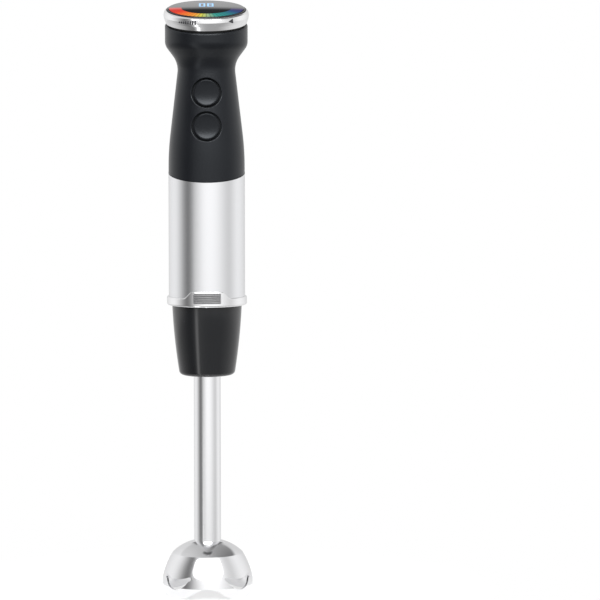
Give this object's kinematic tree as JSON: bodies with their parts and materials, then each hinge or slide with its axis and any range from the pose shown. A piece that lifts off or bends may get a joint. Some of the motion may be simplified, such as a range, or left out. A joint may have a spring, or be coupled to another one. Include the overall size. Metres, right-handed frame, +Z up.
{
  "type": "immersion blender",
  "caption": "Stick blender with a waisted charcoal grip, two round buttons, tilted top dial with display, steel sleeve, black collar, steel shaft and slotted bell foot.",
  "frame": {"origin": "centre of the drive axis on the plane that the four lobes of the bell stand on", "axes": "+Z up the drive axis from the bell to the dial; -Y is the side with the two buttons; +X is to the right seen from that side"},
  "size_m": [0.066, 0.066, 0.4199],
  "materials": {
    "grip": "soft-touch charcoal coating, matte",
    "steel": "brushed satin stainless steel",
    "polished_steel": "polished stainless steel",
    "chrome_trim": "satin chrome plate",
    "gloss_black": "glossy black plastic",
    "button_black": "fine satin plastic",
    "lens_black": "dark tinted gloss window",
    "black_plastic": "moulded black plastic",
    "natural_plastic": "natural moulded plastic",
    "clear_plastic": "clear moulded plastic",
    "rubber_black": "moulded rubber",
    "zinc_steel": "zinc-plated steel",
    "lamination": "stacked electrical steel",
    "copper": "enamelled copper wire",
    "brass": "plain brass",
    "carbon": "pressed carbon",
    "aluminium": "plain extruded aluminium",
    "board": "printed circuit board"
  },
  "bodies": {
    "motor_unit": {"handle_front": "grip", "handle_rear": "grip", "motor_sleeve": "steel", "trim_ring": "chrome_trim", "drive_socket": "black_plastic", "base_screws": "zinc_steel", "motor_frame": "black_plastic", "cord_gland": "rubber_black", "lower_bracket": "natural_plastic", "upper_bracket": "natural_plastic", "lower_bearing": "zinc_steel", "upper_bearing": "brass", "rubber_mounts": "rubber_black", "stator_core": "lamination", "field_coils": "copper", "tie_bolts": "zinc_steel", "brush_holders": "brass", "carbon_brushes": "carbon", "brush_springs": "zinc_steel", "button_guide": "black_plastic", "control_board": "board", "tact_switches": "black_plastic", "power_heat_sink": "aluminium", "capacitor": "natural_plastic", "dial_base": "black_plastic", "dial_screws": "zinc_steel", "display_board": "board", "display_lights": "natural_plastic", "light_guide": "clear_plastic", "display_lens": "lens_black"},
    "dial": {"dial_ring": "chrome_trim", "dial_carrier": "black_plastic", "dial_magnets": "zinc_steel"},
    "speed_key": {"speed_button": "button_black", "speed_button_spring": "zinc_steel"},
    "turbo_key": {"turbo_button": "button_black", "turbo_button_spring": "zinc_steel"},
    "rotor": {"motor_shaft": "zinc_steel", "armature_core": "lamination", "armature_winding": "copper", "commutator": "brass", "cooling_fan": "black_plastic", "motor_coupler": "natural_plastic"},
    "seal": {"coupling_seal": "rubber_black"},
    "foot": {"foot_collar": "gloss_black", "collar_insert": "black_plastic", "shaft_tube": "polished_steel", "bell": "polished_steel", "bearing_housing": "black_plastic", "lower_bush": "brass", "tube_bushes": "natural_plastic", "lip_seal": "rubber_black", "seal_retainer": "black_plastic"},
    "blade_shaft": {"drive_shaft": "polished_steel", "foot_coupler": "natural_plastic", "retaining_clip": "zinc_steel", "thrust_washer": "zinc_steel", "blade_hub": "polished_steel", "blade": "polished_steel", "blade_nut": "polished_steel"}
  },
  "joints": [
    {"name": "dial_turn", "type": "hinge", "parent": "motor_unit", "child": "dial", "pos_m": [0, 0, 0.4032], "axis": [0, -0.2079, 0.9781], "range_deg": [-270, 0]},
    {"name": "speed_press", "type": "slide", "parent": "motor_unit", "child": "speed_key", "axis": [0, 0.9928, -0.1195], "range_m": [0, 0.0014], "stiffness_N_per_m": 900, "springref_m": -0.001, "deforming": ["speed_button_spring"]},
    {"name": "turbo_press", "type": "slide", "parent": "motor_unit", "child": "turbo_key", "axis": [0, 0.9928, -0.1195], "range_m": [0, 0.0014], "stiffness_N_per_m": 900, "springref_m": -0.001, "deforming": ["turbo_button_spring"]},
    {"name": "rotor_spin", "type": "hinge", "parent": "motor_unit", "child": "rotor", "pos_m": [0, 0, 0.25], "axis": [0, 0, 1], "continuous": true},
    {"name": "foot_pull", "type": "slide", "parent": "motor_unit", "child": "seal", "axis": [0, 0, -1], "range_m": [0, 0.07]},
    {"name": "foot_twist", "type": "hinge", "parent": "seal", "child": "foot", "pos_m": [0, 0, 0.2062], "axis": [0, 0, 1], "range_deg": [-30, 0]},
    {"name": "blade_spin", "type": "hinge", "parent": "seal", "child": "blade_shaft", "pos_m": [0, 0, 0.1], "axis": [0, 0, 1], "continuous": true}
  ],
  "couplings": [
    {"joint": "blade_spin", "follows": "rotor_spin", "ratio": 1}
  ]
}
